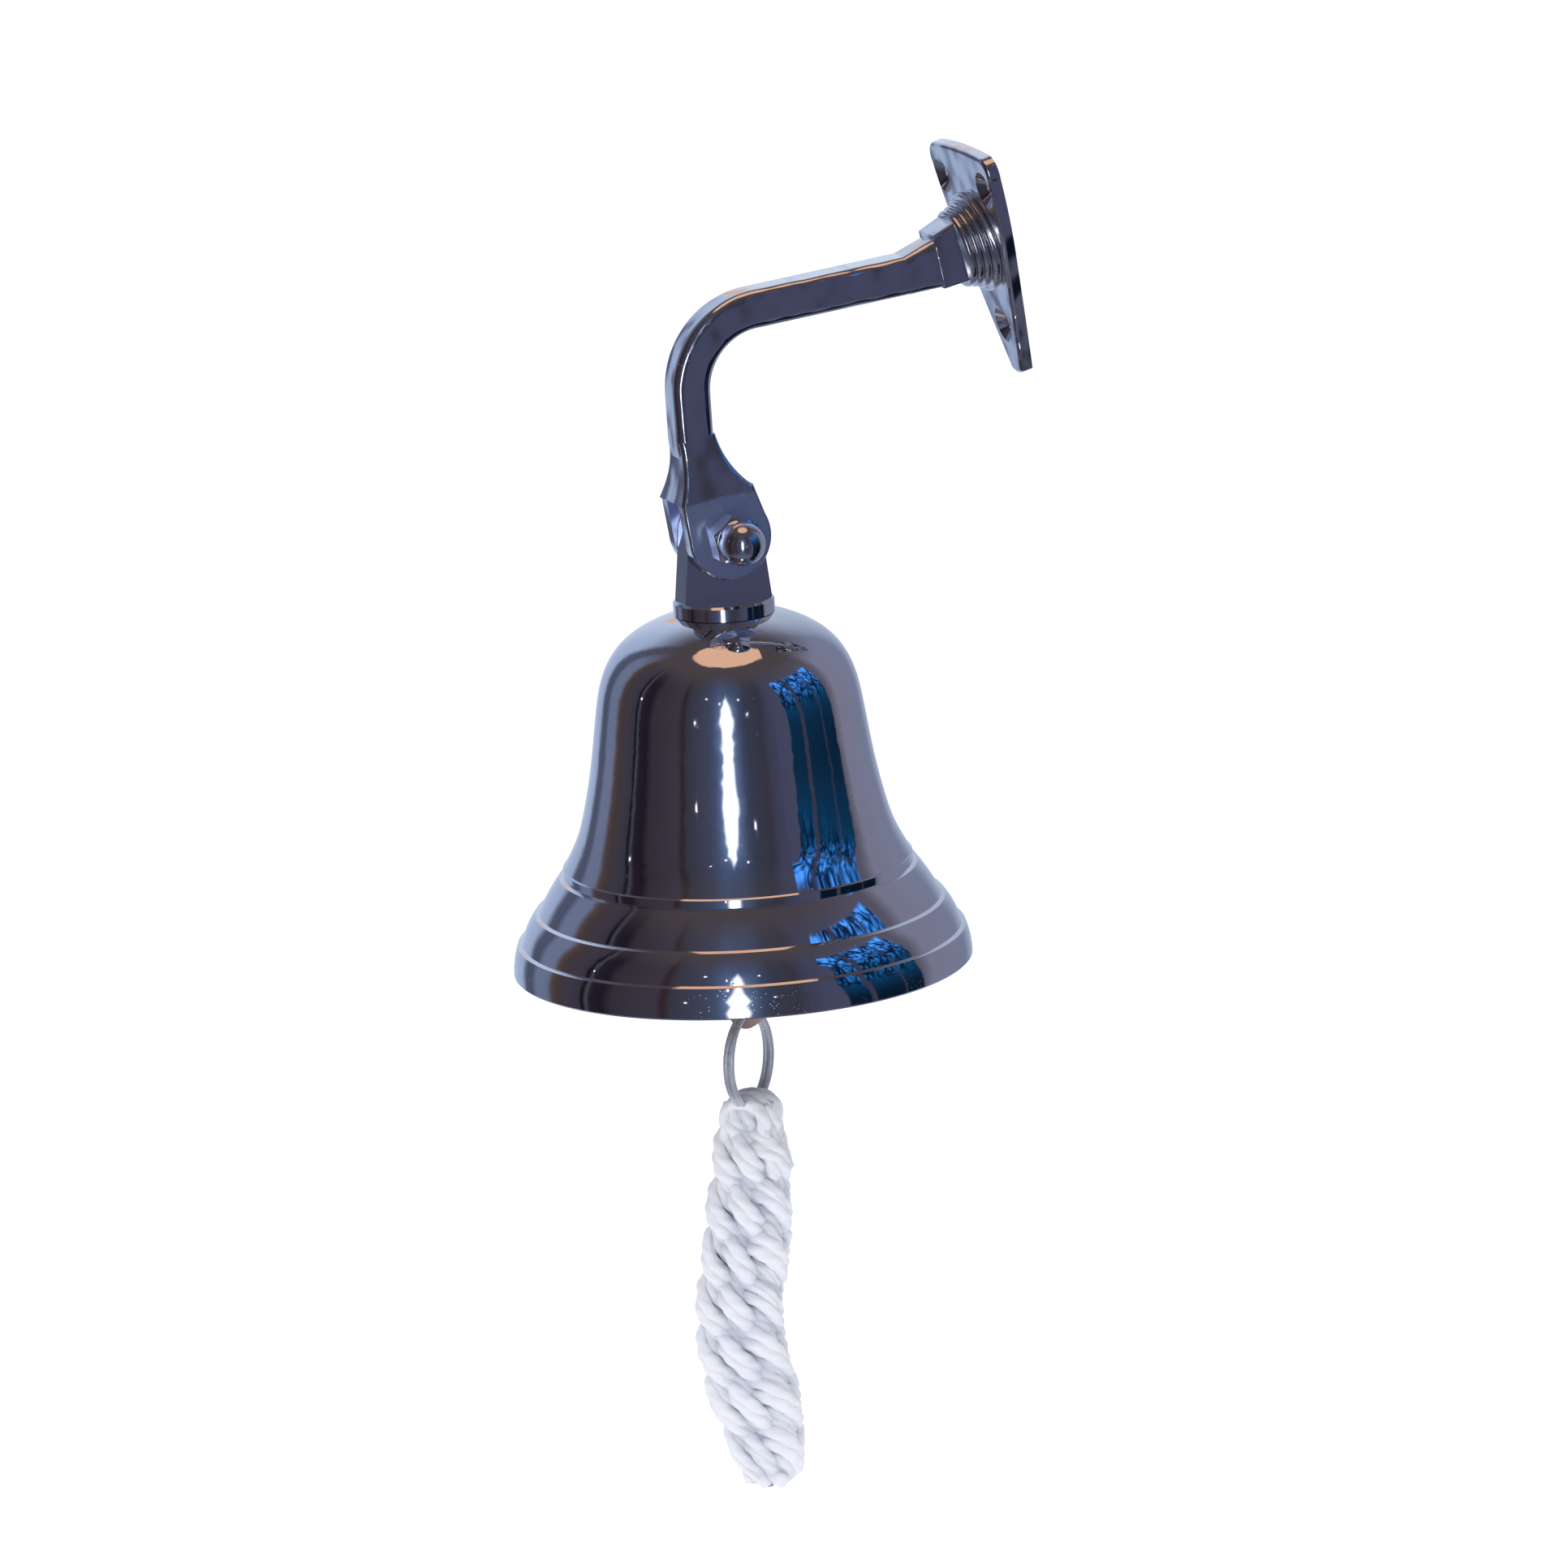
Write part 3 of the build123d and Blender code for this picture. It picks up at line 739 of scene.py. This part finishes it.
@dataclass
class RopePull:
    """The rope pull: bundles of four soft cords crowned in two layers, and their top loops.

    Each row of sections is a depth, a radius and a sideways bow in millimetres. The cord fields
    are the cord's radius, the bundles in a layer, the cords in a bundle and the space between
    them. The rise is one turn's length, and the bulge, shoulder, sunk, swing and sway shape a lobe.
    """

    sections: tuple = (
        (0.0, 4.4, 0.6),
        (4.0, 7.0, 0.3),
        (15.8, 9.3, -0.1),
        (27.3, 10.9, 0.7),
        (38.7, 10.9, 2.7),
        (50.2, 11.0, 4.1),
        (57.7, 11.2, 4.4),
        (64.6, 11.4, 3.0),
        (76.0, 10.7, 1.0),
        (84.0, 9.3, 0.2),
        (89.0, 7.4, -0.3),
        (91.6, 4.6, -0.6),
    )
    bow_turn: float = math.radians(-109.4)
    cord: float = 1.6 * MM
    bundles: int = 3
    cords: int = 4
    spacing: float = 2.75 * MM
    rise: float = 33.4 * MM
    bulge: float = 3.7 * MM
    shoulder: float = 0.95 * MM
    sunk: float = 1.3 * MM
    swing: float = 0.7
    sway: float = 0.65
    plies: float = 3.0
    ply_pitch: float = 3.6 * MM
    around: int = 20
    step: float = 0.3 * MM
    facing: float = math.radians(-36.0)
    uneven: float = 0.55 * MM
    swell: tuple[float, float] = (-0.9 * MM, 0.5 * MM)
    least: float = 1.0 * MM
    loops: int = 4
    loop_gap: float = 2.5 * MM
    loop_half: float = 4.3 * MM
    loop_height: float = 3.9 * MM
    loop_drop: float = 5.6 * MM
    lump_gap: float = 2.4 * MM
    core_depth: float = 5.2 * MM
    seed: int = 11
    top: float = field(init=False)
    length: float = field(init=False)
    axis: Vector = field(init=False)
    dice: np.random.Generator = field(init=False)
    lift_table: np.ndarray = field(init=False)
    swell_table: np.ndarray = field(init=False)

    def spine(self, depth: np.ndarray) -> tuple[np.ndarray, np.ndarray]:
        """The rope's middle line and outer radius.

        Args:
            depth: distances below the rope's top, in metres.

        Returns:
            The points of the line and the radii.
        """
        grid = np.linspace(0.0, self.sections[-1][0], 240)
        table = np.array(self.sections)
        soft = np.hanning(19)
        soft /= soft.sum()
        tracks = []
        for column in (1, 2):
            track = np.interp(grid, table[:, 0], table[:, column])
            padded = np.pad(track, 9, mode="edge")
            tracks.append(np.convolve(padded, soft, mode="valid"))
        place = np.clip(depth / MM, 0.0, grid[-1])
        radius = np.interp(place, grid, tracks[0]) * MM
        bow = np.interp(place, grid, tracks[1]) * MM
        points = np.empty((len(depth), 3))
        points[:, 0] = self.axis.x + bow * math.cos(self.bow_turn)
        points[:, 1] = self.axis.y + bow * math.sin(self.bow_turn)
        points[:, 2] = self.top - depth
        return points, radius

    def cord_line(self, bundle: int, cord: int, layer: int) -> np.ndarray:
        """The line of one cord of a bundle.

        Args:
            bundle: which bundle.
            cord: which cord of it, from its upper side.
            layer: 0 for the outer lobes, 1 for the ones that fill the valleys between them.

        Returns:
            The line's points, one per row.
        """
        sector = 2 * math.pi / self.bundles
        place = cord - (self.cords - 1) / 2
        pitch = self.rise / self.bundles
        angle = np.arange(-3.0 * sector, 2 * math.pi * (self.length / self.rise + 1.3), 0.035)
        turn = angle / sector
        share = turn - np.floor(turn) - 0.5
        column = np.floor(turn).astype(int) + 20
        sway = self.sway * np.sin(2 * math.pi * share) / (2 * math.pi)
        down = turn + self.swing * (share**2 - 0.25) + sway
        depth = (down - bundle) * pitch + place * self.spacing * (1.0 - 0.25 * share)
        uneven = self.lift_table[bundle]
        depth = depth + np.interp(turn, np.arange(len(uneven)) - 12.0, uneven)
        keep = (depth > 3.0 * MM) & (depth < self.length - 1.2 * MM)
        angle, share, depth, column = angle[keep], share[keep], depth[keep], column[keep]
        middle, radius = self.spine(depth)
        dip = self.bulge * (0.5 - 0.5 * np.cos(2 * math.pi * share)) ** 1.3
        dip = dip * np.clip(radius / (9 * MM), 0.25, 1.0)
        swell = self.swell_table[bundle][column % 24]
        lower = self.sunk * layer + self.shoulder * place**2
        reach = radius - self.cord - lower - dip + swell * np.cos(math.pi * share) ** 2
        reach = np.maximum(reach, self.least)
        heading = self.facing + angle + 0.5 * sector * layer
        points = middle.copy()
        points[:, 0] += reach * np.cos(heading)
        points[:, 1] += reach * np.sin(heading)
        return points

    def loop_line(self, index: int, normal: Vector, across: Vector) -> np.ndarray:
        """The line of one cord that goes over the ring.

        Args:
            index: which loop, counted along the ring.
            normal: the ring's normal.
            across: the way that the ring's plane runs.

        Returns:
            The line's points, one per row.
        """
        place = (index - (self.loops - 1) / 2) * self.loop_gap
        sink = 0.30 * abs(place)
        turn = np.linspace(-0.12 * math.pi, 1.12 * math.pi, 40)
        half = self.loop_half + 0.1 * MM * index
        over = np.cos(turn) * half
        height = np.sin(turn) * self.loop_height + self.top - self.loop_drop - sink
        legs = np.linspace(12 * MM, 0.5 * MM, 14)
        spread = np.linspace(2.52 * MM, 0.0, 14)
        left = np.column_stack([over[0] + spread, height[0] - legs])
        right = np.column_stack([over[-1] - spread[::-1], height[-1] - legs[::-1]])
        flat = np.vstack([left, np.column_stack([over, height]), right])
        base = np.array((self.axis.x, self.axis.y, 0.0)) + np.array(across) * place
        return base + np.outer(flat[:, 0], normal) + np.outer(flat[:, 1], (0.0, 0.0, 1.0))

    def spin(self, line: np.ndarray, thickness: float) -> tuple[np.ndarray, list, np.ndarray]:
        """Turns a line into a laid cord.

        Args:
            line: the cord's centreline.
            thickness: its radius.

        Returns:
            Its mesh points, its faces, and the length and turn of each point.
        """
        steps = np.linalg.norm(np.diff(line, axis=0), axis=1)
        run = np.concatenate([[0.0], np.cumsum(steps)])
        count = max(12, int(run[-1] / self.step))
        even = np.linspace(0.0, run[-1], count)
        smooth = np.column_stack([np.interp(even, run, line[:, axis]) for axis in range(3)])
        corners = np.arange(self.around) * 2 * math.pi / self.around
        phase = corners[None, :] * self.plies / 2 + (even / self.ply_pitch * math.pi)[:, None]
        relief = 0.89 + 0.17 * np.abs(np.cos(phase + self.dice.uniform(0, 3)))
        places = np.arange(0.0, run[-1] + 0.01, self.lump_gap)
        lumps = np.interp(even, places, self.dice.normal(0.0, 1.0, len(places)))
        radii = thickness * relief * (1.0 + 0.05 * lumps[:, None])
        fade = np.clip(np.minimum(even, even[-1] - even) / (1.2 * MM), 0.25, 1.0)
        points, faces = tube(smooth, radii * fade[:, None], self.around)
        share = corners[None, :] / 2 / math.pi
        layout = np.stack(np.broadcast_arrays(even[:, None] / (4 * MM), share), axis=-1)
        return points, faces, layout.reshape(-1, 2)

    def core(self) -> tuple[np.ndarray, list, np.ndarray]:
        """The filling that the bundles lie on.

        Returns:
            Its mesh points, its faces and its layout.
        """
        depth = np.linspace(7 * MM, self.length - 2.5 * MM, 80)
        middle, radius = self.spine(depth)
        close = np.clip((self.length - depth) / (7 * MM), 0.3, 1.0) ** 0.5
        thick = np.maximum(radius * close - self.core_depth, 1.2 * MM)
        points, faces = tube(middle, thick, 28)
        return points, faces, np.zeros((len(points), 2))

    def measure(self, frame: dict) -> None:
        """Reads the pull's place and length, and draws its unevenness.
        """
        self.dice = np.random.default_rng(self.seed)
        low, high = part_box("lanyard")
        self.axis = joint_place(frame, "rope_swing")
        self.top = high.z
        self.length = high.z - low.z
        self.lift_table = self.dice.normal(0.0, self.uneven, (self.bundles, 40))
        self.swell_table = self.dice.uniform(*self.swell, (self.bundles, 24))

    def plait(self, frame: dict) -> list[tuple[np.ndarray, list, np.ndarray]]:
        """Makes the core, the two layers of bundles and the top loops.


        Returns:
            Each one's mesh points, faces and layout.
        """
        normal = joint_axis(frame, "rope_swing")
        across = joint_axis(frame, "ring_swing")
        parts = [self.core()]
        for layer in range(2):
            for bundle in range(self.bundles):
                for cord in range(self.cords):
                    parts.append(self.spin(self.cord_line(bundle, cord, layer), self.cord))
        for index in range(self.loops):
            parts.append(self.spin(self.loop_line(index, normal, across), 0.92 * self.cord))
        return parts

    def build(self, frame: dict) -> None:
        """Plaits the pull and puts it in place of its CAD node.
        """
        self.measure(frame)
        points, faces, layouts = [], [], []
        start = 0
        for mesh_points, mesh_faces, layout in self.plait(frame):
            points.append(mesh_points)
            layouts.append(layout)
            faces.extend(tuple(corner + start for corner in face) for face in mesh_faces)
            start += len(mesh_points)
        everything = np.vstack(points)
        pull = mesh_object("rope_pull", everything, faces, Cotton("rope_cotton").make())
        self.add_layout(pull, np.vstack(layouts))
        self.add_crease_shade(pull, everything)
        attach(pull, "rope")
        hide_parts("lanyard")
        LOG.info("plaited %s with %d points", pull.name, len(everything))

    @staticmethod
    def add_layout(pull: bpy.types.Object, layout: np.ndarray) -> None:
        """Stores each point's length and turn as texture coordinates.

        Args:
            pull: the rope pull.
            layout: each point's length and turn.
        """
        corners = np.empty(len(pull.data.loops), dtype=np.int64)
        pull.data.loops.foreach_get("vertex_index", corners)
        pull.data.uv_layers.new(name="cord").data.foreach_set("uv", layout[corners].ravel())

    def add_crease_shade(self, pull: bpy.types.Object, points: np.ndarray) -> None:
        """Stores how deep each point lies under the pull's outer shape, which masks the painted crease
        shade.

        Args:
            pull: the rope pull.
            points: its mesh points.
        """
        middle, radius = self.spine(self.top - points[:, 2])
        reach = np.linalg.norm((points - middle)[:, :2], axis=1)
        depth = np.clip((radius - reach - 0.6 * MM) / (4.2 * MM), 0.0, 1.0)
        # this attribute masks the painted shade in the creases
        store = pull.data.attributes.new("crease_shade", "FLOAT", "POINT")
        store.data.foreach_set("value", depth.astype(np.float32))


@dataclass
class Room:
    """What the chrome reflects, and the plain background."""

    facing: float = math.radians(70.571)
    spots: tuple[tuple[float, float], ...] = (
        (-21.0, 27.0),
        (-9.0, 22.0),
        (8.0, 26.0),
        (15.0, 12.0),
        (-86.0, 15.0),
        (-30.0, 8.0),
    )

    def build(self) -> None:
        """Builds the world."""
        world = bpy.data.worlds.new("room")
        bpy.context.scene.world = world
        world.use_nodes = True
        graph = Graph(world.node_tree)
        way = graph.place(Coordinates.DIRECTION)
        toward = self.dot(graph, way, (math.sin(self.facing), -math.cos(self.facing), 0.0))
        right = self.dot(graph, way, (math.cos(self.facing), math.sin(self.facing), 0.0))
        up = self.dot(graph, way, (0.0, 0.0, 1.0))
        turn = graph.math("MULTIPLY", graph.math("ARCTAN2", right, toward), 180 / math.pi)
        lift = graph.math("MULTIPLY", graph.math("ARCSINE", up), 180 / math.pi)
        colour = self.walls(graph, turn, lift)
        colour = self.window(graph, turn, lift, colour)
        colour = self.lamps(graph, turn, lift, colour)
        path = graph.node("ShaderNodeLightPath")
        soft = graph.mix(graph.ease(lift, -60.0, 80.0), (0.62, 0.63, 0.70), (0.80, 0.81, 0.88))
        colour = graph.mix(path.outputs["Is Diffuse Ray"], colour, soft)
        colour = graph.mix(path.outputs["Is Camera Ray"], colour, (1.0, 1.0, 1.0))
        ground = graph.node("ShaderNodeBackground")
        output = graph.node("ShaderNodeOutputWorld")
        graph.feed(ground.inputs["Color"], colour)
        graph.feed(output.inputs["Surface"], ground.outputs[0])
        LOG.info("built the room")

    @staticmethod
    def dot(graph: Graph, way: bpy.types.NodeSocket, axis: Colour) -> bpy.types.NodeSocket:
        """How far a direction runs along an axis.

        Args:
            graph: the world's graph.
            way: the direction's socket.
            axis: the axis.

        Returns:
            The value's socket.
        """
        made = graph.node("ShaderNodeVectorMath", operation="DOT_PRODUCT")
        graph.feed(made.inputs[0], way)
        made.inputs[1].default_value = axis
        return made.outputs["Value"]

    @staticmethod
    def walls(graph: Graph, turn: object, lift: object) -> bpy.types.NodeSocket:
        """The walls all round, and the ceiling and floor.

        Args:
            graph: the world's graph.
            turn: degrees to the right of the view.
            lift: degrees above level.

        Returns:
            The colour's socket.
        """
        degrees = (
            (-180, (0.619, 0.708, 0.859)),
            (-160, (0.384, 0.476, 0.680)),
            (-146, (0.311, 0.399, 0.599)),
            (-140, (0.078, 0.092, 0.151)),
            (-132, (0.070, 0.085, 0.145)),
            (-127, (0.139, 0.173, 0.289)),
            (-116, (0.139, 0.170, 0.276)),
            (-112, (0.078, 0.055, 0.055)),
            (-106, (0.051, 0.041, 0.045)),
            (-99, (0.048, 0.041, 0.062)),
            (-91, (0.037, 0.036, 0.055)),
            (-88.5, (0.001, 0.000, 0.003)),
            (-86, (0.066, 0.066, 0.092)),
            (-84, (0.017, 0.013, 0.023)),
            (-76, (0.013, 0.010, 0.019)),
            (-70, (0.033, 0.028, 0.041)),
            (-46, (0.045, 0.040, 0.058)),
            (-42, (0.030, 0.017, 0.022)),
            (-38, (0.038, 0.038, 0.058)),
            (-20, (0.051, 0.060, 0.106)),
            (-10, (0.062, 0.096, 0.198)),
            (6, (0.051, 0.074, 0.145)),
            (14, (0.038, 0.045, 0.078)),
            (26, (0.038, 0.036, 0.058)),
            (36, (0.051, 0.058, 0.111)),
            (44, (0.055, 0.062, 0.117)),
            (99, (0.096, 0.096, 0.139)),
            (108, (0.187, 0.194, 0.284)),
            (148, (0.177, 0.205, 0.320)),
            (180, (0.523, 0.619, 0.797)),
        )
        stops = tuple(((angle + 180) / 360, colour) for angle, colour in degrees)
        share = graph.math("MULTIPLY_ADD", turn, 1 / 360, 0.5)
        colour = graph.ramp(share, stops)
        colour = graph.mix(graph.ease(lift, 30.0, 62.0), colour, (0.066, 0.056, 0.066))
        return graph.mix(graph.ease(lift, -28.0, -60.0), colour, (0.10, 0.11, 0.16))

    @staticmethod
    def window(graph: Graph, turn: object, lift: object, colour: object) -> bpy.types.NodeSocket:
        """The tall window with a view of trees.

        Args:
            graph: the world's graph.
            turn: degrees to the right of the view.
            lift: degrees above level.
            colour: the wall round the window.

        Returns:
            The colour's socket.
        """
        turn = graph.math("MULTIPLY_ADD", lift, 0.2, turn)
        height = graph.math("MULTIPLY_ADD", lift, 1 / 60, 1 / 3)
        glass = graph.ramp(
            height,
            (
                (0.0, (0.001, 0.004, 0.010)),
                (0.28, (0.003, 0.014, 0.036)),
                (0.42, (0.004, 0.030, 0.080)),
                (0.52, (0.006, 0.060, 0.170)),
                (0.64, (0.020, 0.150, 0.480)),
                (0.80, (0.050, 0.290, 0.950)),
                (1.0, (0.090, 0.380, 1.250)),
            ),
        )
        flat = graph.node("ShaderNodeCombineXYZ")
        graph.feed(flat.inputs[0], graph.math("MULTIPLY", turn, 0.16))
        graph.feed(flat.inputs[1], graph.math("MULTIPLY", lift, 0.07))
        bent = graph.node("ShaderNodeVectorMath", operation="ADD")
        shake = graph.node("ShaderNodeTexNoise")
        graph.feed(shake.inputs["Vector"], flat.outputs[0])
        shake.inputs["Scale"].default_value = 2.2
        graph.feed(bent.inputs[0], flat.outputs[0])
        graph.feed(bent.inputs[1], shake.outputs["Color"])
        trunks = graph.ease(graph.cells(bent.outputs[0], 0.8, "DISTANCE_TO_EDGE"), 0.02, 0.12, 0.08, 1.0)
        leaves = graph.ease(graph.noise(flat.outputs[0], 3.0, 3.0, 0.55), 0.38, 0.62, 0.14, 1.3)
        view = graph.math("MULTIPLY", trunks, leaves)
        glass = graph.mix(graph.ease(lift, 4.0, 14.0), glass, graph.mix(1.0, glass, view, Blend.MULTIPLY))
        bars = graph.math("MAXIMUM", graph.band(turn, 64.0, 67.0, 0.6), graph.band(turn, 85.5, 86.6, 0.5))
        bars = graph.math("MAXIMUM", bars, graph.band(lift, 23.0, 24.0, 0.5))
        glass = graph.mix(bars, glass, (0.042, 0.042, 0.072))
        below_head = graph.ease(lift, 37.0, 39.0, 1.0, 0.0)
        opening = graph.math("MULTIPLY", graph.band(turn, 51.5, 99.0, 0.7), below_head)
        return graph.mix(opening, colour, glass)

    def lamps(self, graph: Graph, turn: object, lift: object, colour: object) -> bpy.types.NodeSocket:
        """The tall soft lamp, small lamps beside it, and the warm boards beyond and overhead.

        Args:
            graph: the world's graph.
            turn: degrees to the right of the view.
            lift: degrees above level.
            colour: what lies behind the lamps.

        Returns:
            The colour's socket.
        """
        halo = graph.math("MULTIPLY", graph.band(turn, -8.0, 2.0, 8.0), graph.band(lift, -10.0, 22.0, 14.0))
        colour = graph.mix(graph.math("MULTIPLY", halo, 0.8), colour, (0.16, 0.25, 0.46), Blend.ADD)
        beside = graph.math("ABSOLUTE", graph.math("ADD", turn, 3.5))
        from_upper = graph.math("ABSOLUTE", graph.math("ADD", lift, -9.0))
        from_lower = graph.math("ABSOLUTE", graph.math("ADD", lift, 6.0))
        upper = graph.math("MULTIPLY_ADD", from_upper, 0.30, beside)
        lower = graph.math("MULTIPLY_ADD", from_lower, 0.26, beside)
        strip = graph.ease(graph.math("MINIMUM", upper, lower), 0.5, 7.5, 1.0, 0.0)
        colour = graph.mix(strip, colour, (4.0, 4.3, 5.0))
        spots = 0.0
        for place, height in self.spots:
            across = graph.band(turn, place - 0.5, place + 0.5, 0.4)
            along = graph.band(lift, height - 0.7, height + 0.7, 0.5)
            spots = graph.math("MAXIMUM", spots, graph.math("MULTIPLY", across, along))
        colour = graph.mix(spots, colour, (2.6, 2.7, 3.1))
        along = graph.band(lift, 16.8, 24.0, 0.8)
        board = graph.math("MULTIPLY", graph.band(turn, -174.4, -169.0, 0.5), along)
        board = graph.math("MAXIMUM", board, graph.ease(lift, 70.0, 72.0))
        return graph.mix(board, colour, (0.72, 0.44, 0.31))


@dataclass
class Stage:
    """The floor and the lamps that light the cotton and the floor."""

    drop: float = 45 * MM
    half: float = 6.0
    square: tuple[tuple[int, int], ...] = ((-1, -1), (1, -1), (1, 1), (-1, 1))

    def build(self) -> None:
        """Builds the floor and the lamps."""
        low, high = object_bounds()
        level = low.z - self.drop
        corners = np.array([(x * self.half, y * self.half, level) for x, y in self.square])
        floor = mesh_object("floor", corners, [(0, 1, 2, 3)], Floor().make())
        floor.visible_glossy = False
        floor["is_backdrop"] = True
        middle = (low + high) / 2
        self.lamp("key", middle, Vector((0.85, -0.9, 0.75)), 0.5, 4.0, (1.0, 0.98, 0.97))
        self.lamp("fill", middle, Vector((1.0, 0.6, 0.2)), 0.9, 0.6, (0.90, 0.93, 1.0))
        self.lamp("overhead", middle, Vector((0.1, 0.1, 1.2)), 1.2, 2.0, (1.0, 1.0, 1.0))
        LOG.info("laid the floor and hung the lamps")

    @staticmethod
    def lamp(name: str, target: Vector, offset: Vector, size: float, power: float, colour: Colour) -> None:
        """Hangs a soft lamp that points at the target.

        Args:
            name: the lamp's name.
            target: the point that it faces.
            offset: its place from the target.
            size: its side, in metres.
            power: its power, in watts.
            colour: its colour.
        """
        data = bpy.data.lights.new(name, "AREA")
        data.size = size
        data.energy = power
        data.color = colour
        made = bpy.data.objects.new(name, data)
        made.location = target + offset
        made.rotation_euler = (-offset).to_track_quat("-Z", "Y").to_euler()
        made.visible_glossy = False
        bpy.context.scene.collection.objects.link(made)


@dataclass
class Viewpoint:
    """The camera: a long lens, a little above the bell and from its nut side."""

    azimuth: float = math.radians(70.571)
    elevation: float = math.radians(14.239)
    roll: float = math.radians(3.057)
    distance: float = 1.98736
    lens: float = 209.56
    sensor: float = 36.0
    orbit_below_pivot: float = 95 * MM
    aim_right: float = 10.93 * MM
    aim_up: float = 37.69 * MM

    def build(self, frame: dict) -> None:
        """Places the camera.
        """
        centre = joint_place(frame, "bell_swing") - Vector((0.0, 0.0, self.orbit_below_pivot))
        flat = math.cos(self.elevation)
        ahead = Vector((math.sin(self.azimuth), -math.cos(self.azimuth), 0.0))
        back = ahead * flat + Vector((0.0, 0.0, math.sin(self.elevation)))
        right = Vector((math.cos(self.azimuth), math.sin(self.azimuth), 0.0))
        up = back.cross(right)
        place = centre + back * self.distance
        aim = centre + right * self.aim_right + up * self.aim_up
        facing = (place - aim).normalized()
        level = Vector((0.0, 0.0, 1.0)).cross(facing).normalized()
        upright = facing.cross(level)
        side = level * math.cos(self.roll) - upright * math.sin(self.roll)
        top = upright * math.cos(self.roll) + level * math.sin(self.roll)
        turn = Matrix((side, top, facing)).transposed().to_4x4()
        data = bpy.data.cameras.new("view")
        data.lens = self.lens
        data.sensor_width = self.sensor
        data.clip_start, data.clip_end = 0.05, 50.0
        camera = bpy.data.objects.new("view", data)
        camera.matrix_world = Matrix.Translation(place) @ turn
        bpy.context.scene.collection.objects.link(camera)
        bpy.context.scene.camera = camera
        LOG.info("placed the camera")


def main() -> None:
    """Builds every part of the scene in order."""
    logging.basicConfig(level=logging.INFO, format="%(name)s: %(message)s")
    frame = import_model()
    scene = bpy.context.scene
    scene.view_settings.view_transform = "Standard"
    Viewpoint().build(frame)
    Room().build()
    Stage().build()
    Bracket().build(frame)
    PivotFittings().build(frame)
    Bell().build(frame)
    Clapper().build(frame)
    SplitRing().build(frame)
    RopePull().build(frame)


if __name__ == "__main__":
    main()
